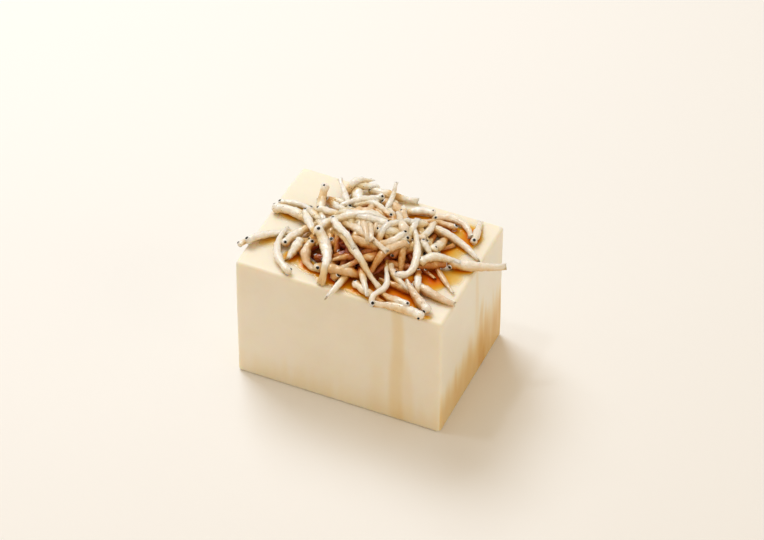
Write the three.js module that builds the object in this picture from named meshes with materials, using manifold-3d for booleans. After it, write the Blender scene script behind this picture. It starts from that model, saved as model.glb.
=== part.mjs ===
// A block of silken tofu with a heap of boiled whitebait on top.
// Millimetres, +Z up. The origin is the middle of the block's underside,
// X runs along the longer top edge and Y from the front face to the back face.
import * as THREE from 'three';
import { mergeVertices } from 'three/addons/utils/BufferGeometryUtils.js';
import Module from 'manifold-3d';

const wasm = await Module();
wasm.setup();

// ---------- driving dimensions ----------

const BLOCK = { width: 75, depth: 53, height: 50 };
const EDGE_RADIUS = 1.2;          // the soft edge that the mould and the knife leave
const BLOCK_CELLS = { x: 12, y: 9, z: 8 };   // even cells between the rounded edges
const FLAT_WITHIN = 0.001;        // cells this flat are joined, as on the underside
const SWELL = { most: 0.12, alongX: 12, alongY: 9, alongZ: 10, flatFoot: 8 };   // of the faces
const REST_GAP = 0.5;             // between the heap and the block

const CORE = { x: 0, y: -1, halfX: 26, halfY: 19, height: 8, rim: 0.7 };
const CORE_RINGS = 5;
const CORE_SIDES = 24;

const FISH_SIDES = 5;
const FISH_STATIONS = [0.03, 0.13, 0.4, 0.7, 0.98];   // rings from snout to tail
const SNOUT_LENGTH = 0.07;        // of the whole length
const TAPER_FROM = 0.45;          // where the body starts to thin
const TAIL_WIDTH = 0.5;           // of the body's width
const BODY_HEIGHT = 0.88;         // a body is a little flatter than it is wide
const SINK = 0.38;                // how far two soft bodies press together, in radii
const BURIED_SINK = 0.65;         // and how far at the bottom of the heap

// The lower layer is scattered at random over the middle of the heap.
const SCATTER = { count: 14, x: 3, y: -5, halfX: 16, halfY: 12, seed: 20617 };

// The fish that show, from the bottom of the heap to the top. Each row gives the
// middle of the body in X and Y, the heading from head to tail in degrees, the
// length, the turn of the body from head to tail in degrees, and the width. Some
// lift the head or the tail off what they lie on, sway sideways along the whole
// body, or bend sharply behind the head; both of these are in degrees.
const SHOWN = [
  // lying on the block, round the foot of the heap
  [-36.5, -14.5, 60, 12, 0, 2.0],
  [-32.5, -11.3, 45, 17, -42, 2.6],
  [-26.5, 1.7, -17, 21, -80, 3.5],
  [-29.5, 7, 3, 14, -60, 2.2],
  [-26.4, -17.2, 117, 24, -84, 2.7],
  [-0.5, -22.2, -99, 16.5, -8, 2.8],
  [-7, -17, 131, 14, 0, 3.2],
  [1, -19, 15, 15, 10, 3.4],
  [9.2, -23.5, -20, 13, 15, 2.8],
  [22.6, -26.1, 180, 17, 28, 3.3],
  [29, -15.7, -12, 16, 22, 3.2],
  [29.5, -7, -41, 13, 8, 1.9],
  [37, 2.2, 21, 18.5, 25, 3.5],
  [31, 18.3, 100, 11, 8, 2.6],
  [23.3, 21, -12, 18, -118, 2.7],
  [8.8, 20, 205, 11.5, 60, 2.8],
  [16.5, 17, 192, 15, 35, 2.5],
  [-2.5, 23.3, 5, 17, 22, 3.0],
  // the slopes
  [-23.2, -6.9, 58, 15, -55, 3.1],
  [-21, -14.6, -98, 7.5, 0, 3.8, { headLift: 1.2 }],
  [-16, -17, -60, 14, 125, 3.2],
  [-21, -3, -52, 15, 10, 2.8],
  [-19, 0.5, -20, 12, 30, 2.6],
  [-19.6, 13.3, 183, 10, 30, 2.6],
  [6.3, -19.8, -55, 13, 0, 2.4],
  [18, -23.5, 159, 15, -30, 2.5],
  [14.5, -7, -71, 9, 5, 2.5],
  [-15, 9, -22, 15, 20, 2.7],
  [22.5, 7, 86, 12, 10, 3.3],
  [18.8, 8.8, 93, 13, 0, 2.2],
  [23, -13, -68, 13, -10, 2.4],
  [17.9, -16.9, 174, 13, 5, 2.7],
  [16, -14.3, -38, 13, 12, 2.7],
  [24, 12.2, -11, 27, -55, 3.1],
  [2.7, 17, -42, 15.5, -95, 3.2],
  [25.9, -20.2, 146, 13.5, -12, 3.2],
  [23.7, -4.2, 220, 11, -8, 3.0],
  [20.8, 0.2, -36, 7.5, 0, 2.2],
  [-1.7, -14.5, 200, 10, 20, 2.5],
  [4.3, -13, 232, 16, -22, 2.7],
  [25, -1.3, 32, 14, -60, 3.3],
  [-21, 6, -70, 15, 45, 2.9, { headLift: 5 }],
  [-13, -3, 58, 14, -30, 2.8],
  [-14.4, 3.6, 12, 13, 25, 2.5],
  [0.7, -9, 190, 11, -15, 3.8],
  // the crown
  [-12, 17, -56, 17, 8, 3.8],
  [-11.5, 22.8, 28, 9, 15, 2.6],
  [-14.5, 22.5, 58, 10.5, 0, 2.7, { tailLift: 1.5 }],
  [-16.5, 16, 128, 13, 0, 2.2, { tailLift: 3 }],
  [-1, 19.5, 95, 12, 10, 2.0, { tailLift: 4 }],
  [-9, -15, -60, 19.5, -65, 3.7],
  [9.3, -8.6, -115, 18, 40, 3.0],
  [4.9, 16.6, 115, 7, 5, 2.2],
  [9.6, 7.8, -48, 14, 25, 3.1],
  [10, 2, 17, 17, -50, 2.8],
  [18.8, -4.2, 109, 26, 50, 2.6, { hook: -105 }],
  [-0.2, -5.8, -22, 21, 10, 2.9],
  [-0.9, -12.7, -35, 29.5, 25, 2.9],
  [-6.4, -8.4, -39, 16, 8, 2.6],
  [0.5, 5.8, -71, 20, -12, 2.8],
  [-2.7, -0.3, -57, 21, 4, 2.8],
  [-0.9, 1.2, -62, 21, 0, 2.8],
  [-9.7, 15.9, 221, 15, 15, 2.7],
  [9.3, 4.5, 126, 14, -28, 3.1],
  [-9, 2.5, -42, 14, -6, 1.9],
  [14.1, -19, 89, 19, 5, 2.1, { hook: 55, sway: -32 }],
];

// ---------- small helpers ----------

const radians = (degrees) => THREE.MathUtils.degToRad(degrees);

// Park-Miller numbers from 0 to 1, the same on every machine.
function randomFrom(seed) {
  let state = seed;
  return () => {
    state = (state * 16807) % 2147483647;
    return state / 2147483647;
  };
}

function toSolid(geometry) {
  const plain = geometry.clone();
  plain.deleteAttribute('normal');
  plain.deleteAttribute('uv');
  const merged = mergeVertices(plain, 1e-4);
  return new wasm.Manifold(new wasm.Mesh({
    numProp: 3,
    vertProperties: new Float32Array(merged.attributes.position.array),
    triVerts: new Uint32Array(merged.index.array),
  }));
}

function toGeometry(solid) {
  const mesh = solid.getMesh();
  const geometry = new THREE.BufferGeometry();
  geometry.setAttribute('position', new THREE.BufferAttribute(mesh.vertProperties, 3));
  geometry.setIndex(new THREE.BufferAttribute(mesh.triVerts, 1));
  geometry.computeVertexNormals();
  return geometry;
}

// A closed skin over rings of equal size, with a point at each end.
function skinRings(start, rings, end) {
  const sides = rings[0].length;
  const points = [start, ...rings.flat(), end];
  const at = (ring, side) => 1 + ring * sides + (side % sides);
  const index = [];
  for (let side = 0; side < sides; side += 1) {
    index.push(0, at(0, side + 1), at(0, side));
    for (let ring = 0; ring + 1 < rings.length; ring += 1) {
      index.push(at(ring, side), at(ring, side + 1), at(ring + 1, side));
      index.push(at(ring, side + 1), at(ring + 1, side + 1), at(ring + 1, side));
    }
    index.push(points.length - 1, at(rings.length - 1, side), at(rings.length - 1, side + 1));
  }
  const geometry = new THREE.BufferGeometry();
  geometry.setFromPoints(points);
  geometry.setIndex(index);
  return geometry;
}

// ---------- the tofu block ----------

// Grid lines across one side: three close ones round each edge and even ones between.
function gridLines(size, cells) {
  const half = size / 2;
  const flat = size - 2 * EDGE_RADIUS;
  const bend = EDGE_RADIUS * (1 - Math.tan(radians(22.5)));
  const middle = Array.from({ length: cells + 1 }, (_, i) => flat * (i / cells - 0.5));
  return [-half, bend - half, ...middle, half - bend, half];
}

// The faces swell and dip by a fraction of a millimetre, but the underside is flat.
function swell(point) {
  const { most, alongX, alongY, alongZ, flatFoot } = SWELL;
  const across = Math.sin(point.x / alongX + 0.6) * Math.sin(point.y / alongY + 1.1);
  const upward = Math.sin(point.z / alongZ + 0.5 * point.x / alongX);
  return most * THREE.MathUtils.smoothstep(point.z, 0, flatFoot) * (across + upward) / 2;
}

function tofuBlock() {
  const sizes = [BLOCK.width, BLOCK.depth, BLOCK.height];
  const lines = [
    gridLines(BLOCK.width, BLOCK_CELLS.x),
    gridLines(BLOCK.depth, BLOCK_CELLS.y),
    gridLines(BLOCK.height, BLOCK_CELLS.z),
  ];
  const counts = lines.map((line) => line.length - 1);
  const geometry = new THREE.BoxGeometry(1, 1, 1, ...counts);
  const position = geometry.attributes.position;
  const corner = new THREE.Vector3(...sizes).multiplyScalar(0.5).subScalar(EDGE_RADIUS);
  for (let i = 0; i < position.count; i += 1) {
    const unit = new THREE.Vector3().fromBufferAttribute(position, i).addScalar(0.5);
    const onBox = new THREE.Vector3(...unit.toArray().map(
      (value, axis) => lines[axis][Math.round(value * counts[axis])],
    ));
    const inner = onBox.clone().clamp(corner.clone().negate(), corner);
    const outward = onBox.sub(inner).normalize();
    const point = inner.addScaledVector(outward, EDGE_RADIUS);
    point.z += BLOCK.height / 2;
    point.addScaledVector(outward, swell(point));
    position.setXYZ(i, point.x, point.y, point.z);
  }
  return toGeometry(toSolid(geometry).simplify(FLAT_WITHIN));
}

// ---------- how the fish lie ----------

// The fish are dropped one after another on a map of heights above the block. Each
// one sags until it rests on what lies below, and is then added to the map.
const CELL = 0.5;
const MAP = { halfX: 48, halfY: 36 };
const COLUMNS = (2 * MAP.halfX) / CELL;
const ROWS = (2 * MAP.halfY) / CELL;

// Height of the core from its middle, 0, out to its rim, 1.
function coreProfile(away) {
  return CORE.rim + (CORE.height - CORE.rim) * Math.cos(away * Math.PI / 2) ** 2;
}

function coreHeight(x, y) {
  const away = Math.hypot((x - CORE.x) / CORE.halfX, (y - CORE.y) / CORE.halfY);
  return away > 1 ? 0 : coreProfile(away);
}

function newHeights() {
  const heights = new Float64Array(COLUMNS * ROWS);
  for (let row = 0; row < ROWS; row += 1) {
    for (let column = 0; column < COLUMNS; column += 1) {
      const x = (column + 0.5) * CELL - MAP.halfX;
      const y = (row + 0.5) * CELL - MAP.halfY;
      heights[row * COLUMNS + column] = REST_GAP + coreHeight(x, y);
    }
  }
  return heights;
}

function heightAt(heights, x, y) {
  const column = Math.floor((x + MAP.halfX) / CELL);
  const row = Math.floor((y + MAP.halfY) / CELL);
  if (column < 0 || row < 0 || column >= COLUMNS || row >= ROWS) {
    return REST_GAP;
  }
  return heights[row * COLUMNS + column];
}

function stampBody(heights, point, radius, sink) {
  const reach = Math.ceil(radius / CELL);
  const column = Math.floor((point.x + MAP.halfX) / CELL);
  const row = Math.floor((point.y + MAP.halfY) / CELL);
  for (let r = row - reach; r <= row + reach; r += 1) {
    for (let c = column - reach; c <= column + reach; c += 1) {
      const dx = (c + 0.5) * CELL - MAP.halfX - point.x;
      const dy = (r + 0.5) * CELL - MAP.halfY - point.y;
      const left = radius * radius - dx * dx - dy * dy;
      if (left > 0 && c >= 0 && r >= 0 && c < COLUMNS && r < ROWS) {
        const cell = r * COLUMNS + c;
        const top = point.z + Math.sqrt(left) * (BODY_HEIGHT - sink);
        heights[cell] = Math.max(heights[cell], top);
      }
    }
  }
}

// Half the body's width at a share of the length from the snout: a blunt head, the
// belly just behind it and a long taper to the tail.
function halfWidth(share, width) {
  const snout = Math.sqrt(Math.min(1, share / SNOUT_LENGTH));
  const taper = 1 - (1 - TAIL_WIDTH) * THREE.MathUtils.smoothstep(share, TAPER_FROM, 1);
  return 0.5 * width * snout * taper;
}

const LINKS = 24;                 // straight pieces that a body is bent from
const HOOK_REACH = 0.45;          // how far down the body a hook behind the head reaches
const LIFT_REACH = 0.6;           // how far along the body a lifted end reaches
const FOOTPRINT = [-0.6, 0, 0.6]; // where a body is tested against the map, in radii
const SAG_PER_STEP = 0.04;        // how much a soft body hangs between two supports
const SAG_ROUNDS = 160;

// The headings along a body, and its middle line as seen from above.
function bendBody([x, y, heading, length, bend, , extra]) {
  const { sway = 0, hook = 0 } = extra ?? {};
  const angles = Array.from({ length: LINKS + 1 }, (_, i) => {
    const share = i / LINKS;
    const turn = bend * (share - 0.5)
      + sway * Math.sin(2 * Math.PI * share)
      + hook * Math.max(0, 1 - share / HOOK_REACH) ** 2;
    return radians(heading + turn);
  });
  const line = [new THREE.Vector3()];
  for (let i = 0; i < LINKS; i += 1) {
    const angle = (angles[i] + angles[i + 1]) / 2;
    const ahead = new THREE.Vector3(Math.cos(angle), Math.sin(angle), 0);
    line.push(line[i].clone().addScaledVector(ahead, length / LINKS));
  }
  const offset = new THREE.Vector3(x, y, 0).sub(line[LINKS / 2]);
  line.forEach((point) => point.add(offset));
  return { line, angles };
}

function layFish(heights, row, sink) {
  const [, , , length, , width, extra] = row;
  const { headLift = 0, tailLift = 0 } = extra ?? {};
  const { line, angles } = bendBody(row);
  const radii = line.map((_, i) => halfWidth(i / LINKS, width));
  const lowest = line.map((point, i) => {
    const below = FOOTPRINT.map((reach) => heightAt(
      heights,
      point.x - Math.sin(angles[i]) * radii[i] * reach,
      point.y + Math.cos(angles[i]) * radii[i] * reach,
    ));
    const onBlock = REST_GAP + radii[i] * BODY_HEIGHT;
    return Math.max(onBlock, Math.max(...below) + radii[i] * (BODY_HEIGHT - sink));
  });
  sag(line, lowest, length / LINKS);
  line.forEach((point, i) => {
    const share = i / LINKS;
    point.z += headLift * Math.max(0, 1 - share / LIFT_REACH) ** 2;
    point.z += tailLift * Math.max(0, 1 - (1 - share) / LIFT_REACH) ** 2;
    stampBody(heights, point, radii[i], sink);
  });
  return { line, angles, width };
}

// The middle line comes down from above and stops on its supports. A free end hangs
// on in the direction of the links before it.
function sag(line, lowest, step) {
  const drop = SAG_PER_STEP * step * step;
  const top = Math.max(...lowest);
  line.forEach((point) => { point.z = top; });
  for (let round = 0; round < SAG_ROUNDS; round += 1) {
    line[0].z = Math.max(lowest[0], 2 * line[1].z - line[2].z - 4 * drop);
    for (let i = 1; i < LINKS; i += 1) {
      line[i].z = Math.max(lowest[i], (line[i - 1].z + line[i + 1].z) / 2 - drop);
    }
    const tail = 2 * line[LINKS - 1].z - line[LINKS - 2].z - 4 * drop;
    line[LINKS].z = Math.max(lowest[LINKS], tail);
  }
}

function scatteredRows() {
  const random = randomFrom(SCATTER.seed);
  const rows = [];
  for (let i = 0; i < SCATTER.count; i += 1) {
    const around = 2 * Math.PI * random();
    const out = Math.sqrt(random());
    rows.push([
      SCATTER.x + SCATTER.halfX * out * Math.cos(around),
      SCATTER.y + SCATTER.halfY * out * Math.sin(around),
      360 * random(),
      16 + 8 * random(),
      100 * (random() - 0.5),
      2.3 + random(),
      { sway: 40 * (random() - 0.5) },
    ]);
  }
  return rows;
}

// ---------- the heap ----------

// A flat-sided ring is drawn a little wide, to hold as much as the round body.
const SAME_AREA = Math.sqrt((2 * Math.PI) / (FISH_SIDES * Math.sin((2 * Math.PI) / FISH_SIDES)));

function fishSolid({ line, angles, width }) {
  const rings = FISH_STATIONS.map((share) => {
    const place = share * LINKS;
    const i = Math.min(LINKS - 1, Math.floor(place));
    const centre = line[i].clone().lerp(line[i + 1], place - i);
    const ahead = line[i + 1].clone().sub(line[i]).normalize();
    const across = new THREE.Vector3(-Math.sin(angles[i]), Math.cos(angles[i]), 0);
    const up = ahead.clone().cross(across);
    const radius = halfWidth(share, width) * SAME_AREA;
    return Array.from({ length: FISH_SIDES }, (_, side) => {
      const turn = (2 * Math.PI * (side + 0.5)) / FISH_SIDES;
      return centre.clone()
        .addScaledVector(across, radius * Math.cos(turn))
        .addScaledVector(up, radius * BODY_HEIGHT * Math.sin(turn));
    });
  });
  return toSolid(skinRings(line[0], rings, line[LINKS]));
}

function coreSolid() {
  const rings = [];
  for (let ring = CORE_RINGS; ring > 0; ring -= 1) {
    const away = ring / CORE_RINGS;
    rings.push(Array.from({ length: CORE_SIDES }, (_, side) => {
      const turn = (2 * Math.PI * side) / CORE_SIDES;
      const x = CORE.x + CORE.halfX * away * Math.cos(turn);
      const y = CORE.y + CORE.halfY * away * Math.sin(turn);
      return new THREE.Vector3(x, y, REST_GAP + coreProfile(away));
    }));
  }
  const foot = rings[0].map((point) => new THREE.Vector3(point.x, point.y, REST_GAP));
  const underside = new THREE.Vector3(CORE.x, CORE.y, REST_GAP);
  const top = new THREE.Vector3(CORE.x, CORE.y, REST_GAP + CORE.height);
  return toSolid(skinRings(underside, [foot, ...rings], top));
}

function whitebaitHeap() {
  const heights = newHeights();
  const buried = scatteredRows().map((row) => layFish(heights, row, BURIED_SINK));
  const shown = SHOWN.map((row) => layFish(heights, row, SINK));
  const fish = [...buried, ...shown];
  const joined = wasm.Manifold.union([coreSolid(), ...fish.map(fishSolid)]);
  const pieces = joined.decompose();
  const body = pieces.reduce((best, piece) => (piece.volume() > best.volume() ? piece : best));
  return toGeometry(body);
}

// ---------- the finished object ----------

const tofu = new THREE.Mesh(
  tofuBlock(),
  new THREE.MeshStandardMaterial({ color: 0xf6ecd2, roughness: 0.45, metalness: 0 }),
);
tofu.name = 'tofu';

const whitebait = new THREE.Mesh(
  whitebaitHeap(),
  new THREE.MeshStandardMaterial({ color: 0xe3d3b8, roughness: 0.35, metalness: 0 }),
);
whitebait.name = 'whitebait';
whitebait.position.z = BLOCK.height;

const dish = new THREE.Group();
dish.add(tofu, whitebait);

export default dish;
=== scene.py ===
"""A block of silken tofu topped with boiled whitebait and a little soy sauce."""

import math

import bpy
import numpy as np
from mathutils import Matrix, Vector


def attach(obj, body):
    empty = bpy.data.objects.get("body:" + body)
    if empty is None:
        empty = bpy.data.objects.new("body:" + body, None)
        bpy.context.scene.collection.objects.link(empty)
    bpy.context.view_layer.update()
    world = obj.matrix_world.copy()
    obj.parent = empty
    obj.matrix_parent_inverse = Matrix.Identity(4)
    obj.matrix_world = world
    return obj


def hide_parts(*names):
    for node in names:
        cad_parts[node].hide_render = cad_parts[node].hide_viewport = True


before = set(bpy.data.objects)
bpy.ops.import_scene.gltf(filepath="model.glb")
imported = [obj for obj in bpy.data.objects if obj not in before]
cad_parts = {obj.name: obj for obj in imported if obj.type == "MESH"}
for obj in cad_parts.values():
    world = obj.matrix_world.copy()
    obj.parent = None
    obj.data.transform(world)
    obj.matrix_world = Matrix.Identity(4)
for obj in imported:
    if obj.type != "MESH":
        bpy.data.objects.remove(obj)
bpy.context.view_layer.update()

# Lengths are in millimetres up to the point where a mesh is made.
MM = 0.001

# --- sizes that the solids have too ---

BLOCK = {"width": 75, "depth": 53, "height": 50}
EDGE_RADIUS = 1.2
SWELL = {"most": 0.12, "along_x": 12, "along_y": 9, "along_z": 10, "flat_foot": 8}
REST_GAP = 0.5
CORE = {"x": 0, "y": -1, "half_x": 26, "half_y": 19, "height": 8, "rim": 0.7}

SNOUT_LENGTH = 0.07       # of a fish's whole length
TAPER_FROM = 0.45
TAIL_WIDTH = 0.5
BODY_HEIGHT = 0.88
SINK = 0.38               # how far two soft bodies press together, in radii
BURIED_SINK = 0.65
LINKS = 24
HOOK_REACH = 0.45
LIFT_REACH = 0.6
FOOTPRINT = (-0.6, 0, 0.6)
SAG_PER_STEP = 0.04
SAG_ROUNDS = 160
CELL = 0.5
MAP_HALF = (48, 36)
MAP_X, MAP_Y = [np.arange(CELL / 2 - half, half, CELL) for half in MAP_HALF]
SCATTER = {"count": 14, "x": 3, "y": -5, "half_x": 16, "half_y": 12, "seed": 20617}

# Middle of the body in X and Y, heading from head to tail in degrees, length, turn
# of the body from head to tail in degrees, and width, from the bottom to the top.
SHOWN = [
    # lying on the block, round the foot of the heap
    (-36.5, -14.5, 60, 12, 0, 2.0),
    (-32.5, -11.3, 45, 17, -42, 2.6),
    (-26.5, 1.7, -17, 21, -80, 3.5),
    (-29.5, 7, 3, 14, -60, 2.2),
    (-26.4, -17.2, 117, 24, -84, 2.7),
    (-0.5, -22.2, -99, 16.5, -8, 2.8, {"clean": 0.8, "roll": 90}),
    (-7, -17, 131, 14, 0, 3.2, {"tan": 0.8}),
    (1, -19, 15, 15, 10, 3.4, {"tan": 1}),
    (9.2, -23.5, -20, 13, 15, 2.8),
    (22.6, -26.1, 180, 17, 28, 3.3, {"speckle": 0.6, "roll": -75}),
    (29, -15.7, -12, 16, 22, 3.2, {"tan": 0.6, "roll": 90}),
    (29.5, -7, -41, 13, 8, 1.9),
    (37, 2.2, 21, 18.5, 25, 3.5, {"tan": 0.12, "roll": 90}),
    (31, 18.3, 100, 11, 8, 2.6),
    (23.3, 21, -12, 18, -118, 2.7),
    (8.8, 20, 205, 11.5, 60, 2.8),
    (16.5, 17, 192, 15, 35, 2.5),
    (-2.5, 23.3, 5, 17, 22, 3.0),
    # the slopes
    (-23.2, -6.9, 58, 15, -55, 3.1),
    (-21, -14.6, -98, 7.5, 0, 3.8, {"head_lift": 1.2, "clean": 0.9, "roll": 60}),
    (-16, -17, -60, 14, 125, 3.2),
    (-21, -3, -52, 15, 10, 2.8),
    (-19, 0.5, -20, 12, 30, 2.6),
    (-19.6, 13.3, 183, 10, 30, 2.6),
    (6.3, -19.8, -55, 13, 0, 2.4),
    (18, -23.5, 159, 15, -30, 2.5),
    (14.5, -7, -71, 9, 5, 2.5, {"tan": 0.9}),
    (-15, 9, -22, 15, 20, 2.7),
    (22.5, 7, 86, 12, 10, 3.3),
    (18.8, 8.8, 93, 13, 0, 2.2),
    (23, -13, -68, 13, -10, 2.4),
    (17.9, -16.9, 174, 13, 5, 2.7, {"speckle": 0.5, "roll": 90}),
    (16, -14.3, -38, 13, 12, 2.7, {"clean": 0.6, "roll": 90}),
    (24, 12.2, -11, 27, -55, 3.1, {"clean": 0.8, "roll": 90}),
    (2.7, 17, -42, 15.5, -95, 3.2, {"tan": 0.9}),
    (25.9, -20.2, 146, 13.5, -12, 3.2, {"speckle": 0.7, "roll": -75}),
    (23.7, -4.2, 220, 11, -8, 3.0),
    (20.8, 0.2, -36, 7.5, 0, 2.2),
    (-1.7, -14.5, 200, 10, 20, 2.5, {"tan": 0.9}),
    (4.3, -13, 232, 16, -22, 2.7, {"tan": 0.9}),
    (25, -1.3, 32, 14, -60, 3.3, {"clean": 1}),
    (-21, 6, -70, 15, 45, 2.9, {"head_lift": 5}),
    (-13, -3, 58, 14, -30, 2.8),
    (-14.4, 3.6, 12, 13, 25, 2.5),
    (0.7, -9, 190, 11, -15, 3.8, {"tan": 0.9}),
    # the crown
    (-12, 17, -56, 17, 8, 3.8),
    (-11.5, 22.8, 28, 9, 15, 2.6),
    (-14.5, 22.5, 58, 10.5, 0, 2.7, {"tail_lift": 1.5}),
    (-16.5, 16, 128, 13, 0, 2.2, {"tail_lift": 3}),
    (-1, 19.5, 95, 12, 10, 2.0, {"tail_lift": 4}),
    (-9, -15, -60, 19.5, -65, 3.7, {"speckle": 1}),
    (9.3, -8.6, -115, 18, 40, 3.0, {"tan": 0.8}),
    (4.9, 16.6, 115, 7, 5, 2.2, {"clean": 1, "roll": 90}),
    (9.6, 7.8, -48, 14, 25, 3.1, {"tan": 0.85}),
    (10, 2, 17, 17, -50, 2.8, {"tan": 0.6}),
    (18.8, -4.2, 109, 26, 50, 2.6, {"hook": -105, "clean": 0.7}),
    (-0.2, -5.8, -22, 21, 10, 2.9, {"tan": 0.45}),
    (-0.9, -12.7, -35, 29.5, 25, 2.9, {"clean": 0.9}),
    (-6.4, -8.4, -39, 16, 8, 2.6),
    (0.5, 5.8, -71, 20, -12, 2.8, {"tan": 0.75}),
    (-2.7, -0.3, -57, 21, 4, 2.8, {"tan": 0.7}),
    (-0.9, 1.2, -62, 21, 0, 2.8, {"tan": 0.5}),
    (-9.7, 15.9, 221, 15, 15, 2.7),
    (9.3, 4.5, 126, 14, -28, 3.1, {"tan": 0.35}),
    (-9, 2.5, -42, 14, -6, 1.9),
    (14.1, -19, 89, 19, 5, 2.1, {"hook": 55, "sway": -32, "clean": 1}),
]

# --- sizes that only the dressed part has ---

# The sauce-soaked middle of the heap, lower than the solid core, and the fish that
# fill the space between them.
MOUND = {"x": 0, "y": -1, "half_x": 24, "half_y": 17, "height": 6.2, "rim": 0.25}
FILLERS = {"count": 46, "x": 0, "y": -1, "half_x": 20, "half_y": 14.5, "seed": 7741}

TOP_REACH = 4             # how far a high fish shades its neighbours, in map cells
RINGS = 44                # along one fish
SIDES = 16                # round one fish
END_CROWDING = 0.6        # how much closer the rings stand at the snout and the tail

# Shares of the length, from the snout to the tail, at each link and at each ring.
LINK_PLACES = np.linspace(0, 1, LINKS + 1)
EVEN = np.linspace(0, 1, RINGS)
RING_PLACES = EVEN - END_CROWDING * np.sin(2 * math.pi * EVEN) / (2 * math.pi)

# Along the body: share of the length, half depth and half thickness against width / 2.
BODY_FORM = [
    (0.00, 0.12, 0.12),
    (0.02, 0.66, 0.62),
    (0.06, 0.98, 0.92),
    (0.11, 1.04, 0.98),
    (0.17, 0.93, 0.87),
    (0.30, 1.06, 0.98),
    (0.48, 1.03, 0.93),
    (0.68, 0.86, 0.78),
    (0.86, 0.68, 0.58),
    (0.94, 0.64, 0.48),
    (1.00, 0.80, 0.24),
]

# How high the sauce has risen between the fish: middle, half lengths and height.
SOAKED_HILLS = [
    (2, -7, 21, 17, 10.0),
    (5, 5, 13, 10, 9.5),
    (-4, 5, 9, 8, 13.0),
    (18, -20, 16, 9, 5.0),
    (26, -6, 12, 10, 5.0),
    (20, 12, 16, 11, 4.5),
    (-16, -15, 11, 8, 4.5),
]
SOAK_FADE = 4.0           # from clean fish above the sauce to soaked fish in it

OCTAVES = 3               # of uneven waves, each half as wide and half as high
WAVES_EACH = 4            # waves in each octave
WAVES_TOTAL = 5           # brings their sum to about 1
SMOOTHINGS = 3            # of a fish's middle line

# --- small helpers ---


def random_from(seed):
    """Park-Miller numbers from 0 to 1, the same on every machine."""
    state = seed
    while True:
        state = (state * 16807) % 2147483647
        yield state / 2147483647


def smoothstep(value, low, high):
    share = np.clip((value - low) / (high - low), 0, 1)
    return share * share * (3 - 2 * share)


def curve_through(knots, values, at):
    """A smooth curve through the values given at the knots, read at other places."""
    slopes = np.gradient(values, knots)
    cell = np.clip(np.searchsorted(knots, at, side="right") - 1, 0, len(knots) - 2)
    width = knots[cell + 1] - knots[cell]
    share = (at - knots[cell]) / width
    return (
        values[cell] * (1 + 2 * share) * (1 - share) ** 2
        + slopes[cell] * width * share * (1 - share) ** 2
        + values[cell + 1] * share ** 2 * (3 - 2 * share)
        + slopes[cell + 1] * width * share ** 2 * (share - 1)
    )


def blurred(grid, rounds):
    """The grid after some rounds of averaging each cell with its neighbours."""
    for _ in range(rounds):
        padded = np.pad(grid, 1, mode="edge")
        grid = (padded[:-2] + 2 * padded[1:-1] + padded[2:])[:, 1:-1] / 4
        padded = np.pad(grid, 1, mode="edge")
        grid = (padded[:, :-2] + 2 * padded[:, 1:-1] + padded[:, 2:])[1:-1] / 4
    return grid


def wavy(x, y, height, scale, seed):
    """Smooth uneven waves over a plane, about `height` high and `scale` across."""
    draw = random_from(seed)
    total = np.zeros(np.broadcast(x, y).shape)
    strength = 1.0
    for octave in range(OCTAVES):
        for _ in range(WAVES_EACH):
            turn = 2 * math.pi * next(draw)
            phase = 2 * math.pi * next(draw)
            pace = 2 * math.pi / (scale / 2 ** octave) * (0.7 + 0.6 * next(draw))
            total = total + strength * np.sin(
                pace * (x * math.cos(turn) + y * math.sin(turn)) + phase)
        strength *= 0.5
    return height * (total / WAVES_TOTAL)


def add_object(name, data):
    made = bpy.data.objects.new(name, data)
    bpy.context.scene.collection.objects.link(made)
    return made


def add_mesh(name, vertices, faces, readings=None):
    """A mesh object from points in millimetres, with named readings per point."""
    mesh = bpy.data.meshes.new(name)
    mesh.from_pydata((np.asarray(vertices) * MM).tolist(), [], faces)
    for label, values in (readings or {}).items():
        values = np.asarray(values, np.float32)
        kind = "FLOAT" if values.ndim == 1 else "FLOAT_VECTOR"
        layer = mesh.attributes.new(label, kind, "POINT")
        layer.data.foreach_set("value" if values.ndim == 1 else "vector", values.ravel())
    mesh.polygons.foreach_set("use_smooth", [True] * len(mesh.polygons))
    mesh.update()
    return add_object(name, mesh)


# --- how the fish lie ---


def as_fish(row, **facts):
    fish = {"head_lift": 0, "tail_lift": 0, "sway": 0, "hook": 0, "speckle": 0,
            "clean": 0, "tan": 0, "roll": None}
    fish.update(zip(("x", "y", "heading", "length", "bend", "width"), row))
    fish.update(row[6] if len(row) > 6 else {})
    fish.update(facts)
    return fish


def scattered(area):
    draw = random_from(area["seed"])
    fish = []
    for _ in range(area["count"]):
        around = 2 * math.pi * next(draw)
        out = math.sqrt(next(draw))
        row = (
            area["x"] + area["half_x"] * out * math.cos(around),
            area["y"] + area["half_y"] * out * math.sin(around),
            360 * next(draw),
            16 + 8 * next(draw),
            100 * (next(draw) - 0.5),
            2.3 + next(draw),
        )
        fish.append(as_fish(row, sway=40 * (next(draw) - 0.5)))
    return fish


def mound_height(shape, x, y):
    away = np.hypot((x - shape["x"]) / shape["half_x"], (y - shape["y"]) / shape["half_y"])
    inside = shape["rim"] + (shape["height"] - shape["rim"]) * np.cos(away * math.pi / 2) ** 2
    return np.where(away > 1, 0, inside)


def new_heights(shape):
    return REST_GAP + mound_height(shape, MAP_X[None, :], MAP_Y[:, None])


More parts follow.
